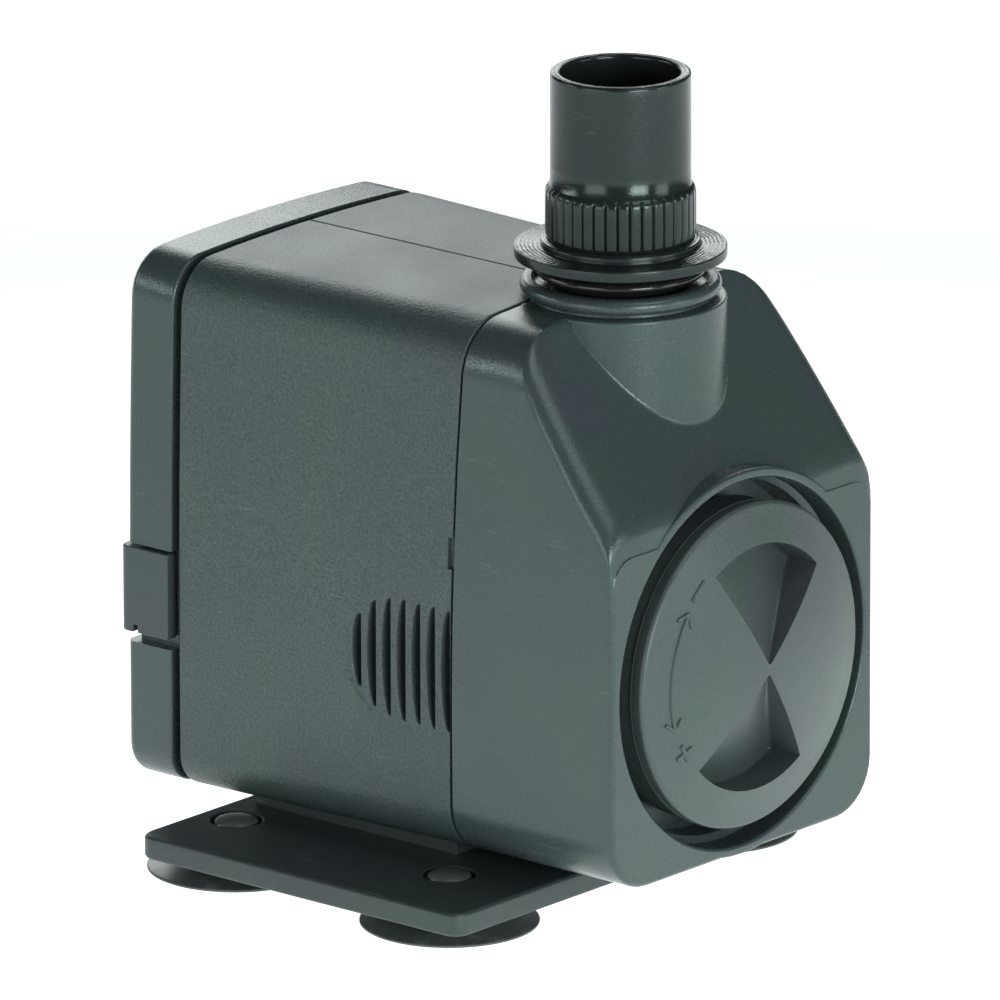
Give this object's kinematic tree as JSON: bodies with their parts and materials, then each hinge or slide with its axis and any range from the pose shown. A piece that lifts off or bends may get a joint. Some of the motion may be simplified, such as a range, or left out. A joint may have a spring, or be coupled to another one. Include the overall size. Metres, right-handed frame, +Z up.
{
  "type": "submersible fountain pump",
  "caption": "Compact black submersible pump: a square body with sloped front cover, flow dial, swivelling hose tail on top, side intake slots and a foot plate on suction cups.",
  "frame": {"origin": "on the ground under the middle of the whole pump's box, at the level the suction cups stand on", "axes": "+Z up, -Y is the front that the flow dial faces, +X to the right seen from the front; X = 0 is the plane of symmetry of the body"},
  "size_m": [0.0814, 0.0962, 0.1141],
  "materials": {
    "housing_black": "fine matte moulded texture",
    "cover_black": "smooth satin moulding",
    "clip_black": "smooth satin moulding",
    "plate_black": "satin moulding",
    "dial_black": "satin moulding",
    "adapter_black": "satin moulding",
    "rubber_black": "soft matte rubber",
    "seal_rubber": "smooth wet-looking rubber",
    "inner_plastic": "plain moulding",
    "bobbin_white": "plain moulding",
    "winding_copper": "enamelled copper wire",
    "lamination_steel": "stacked electrical steel sheets",
    "resin_brown": "cast resin",
    "ceramic_white": "ground ceramic",
    "ferrite_grey": "sintered ferrite"
  },
  "bodies": {
    "motor_unit": {"motor_housing": "housing_black", "rear_cover": "cover_black", "rear_clip": "clip_black", "cable_gland": "rubber_black", "base_plate": "plate_black", "suction_cup_front_left": "rubber_black", "suction_cup_front_right": "rubber_black", "suction_cup_rear_left": "rubber_black", "suction_cup_rear_right": "rubber_black", "stator_core": "lamination_steel", "coil_bobbin_left": "bobbin_white", "coil_bobbin_right": "bobbin_white", "coil_winding_left": "winding_copper", "coil_winding_right": "winding_copper", "potting_resin": "resin_brown", "rear_bush": "rubber_black", "shaft": "ceramic_white", "chamber_plate": "inner_plastic", "chamber_seal": "seal_rubber"},
    "rotor": {"rotor_magnet": "ferrite_grey", "rotor_sleeve": "inner_plastic", "impeller": "inner_plastic", "thrust_washer_rear": "ceramic_white", "thrust_washer_front": "ceramic_white"},
    "front_cover": {"front_cover": "cover_black", "impeller_chamber": "inner_plastic", "front_bush": "rubber_black"},
    "dial": {"flow_dial": "dial_black", "flow_regulator": "inner_plastic"},
    "adapter_seal": {"outlet_seal": "seal_rubber"},
    "adapter": {"outlet_adapter": "adapter_black"}
  },
  "joints": [
    {"name": "rotor_spin", "type": "hinge", "parent": "motor_unit", "child": "rotor", "pos_m": [0, 0.0069, 0.0355], "axis": [0, 1, 0], "continuous": true},
    {"name": "front_cover_pull", "type": "slide", "parent": "motor_unit", "child": "front_cover", "axis": [0, -1, 0], "range_m": [0, 0.035]},
    {"name": "flow_dial_turn", "type": "hinge", "parent": "front_cover", "child": "dial", "pos_m": [0, -0.0448, 0.0355], "axis": [0, -1, 0], "range_deg": [-45, 45]},
    {"name": "adapter_pull", "type": "slide", "parent": "front_cover", "child": "adapter_seal", "axis": [0, 0, 1], "range_m": [0, 0.012]},
    {"name": "adapter_swivel", "type": "hinge", "parent": "adapter_seal", "child": "adapter", "pos_m": [0, -0.022, 0.0901], "axis": [0, 0, 1], "continuous": true}
  ]
}
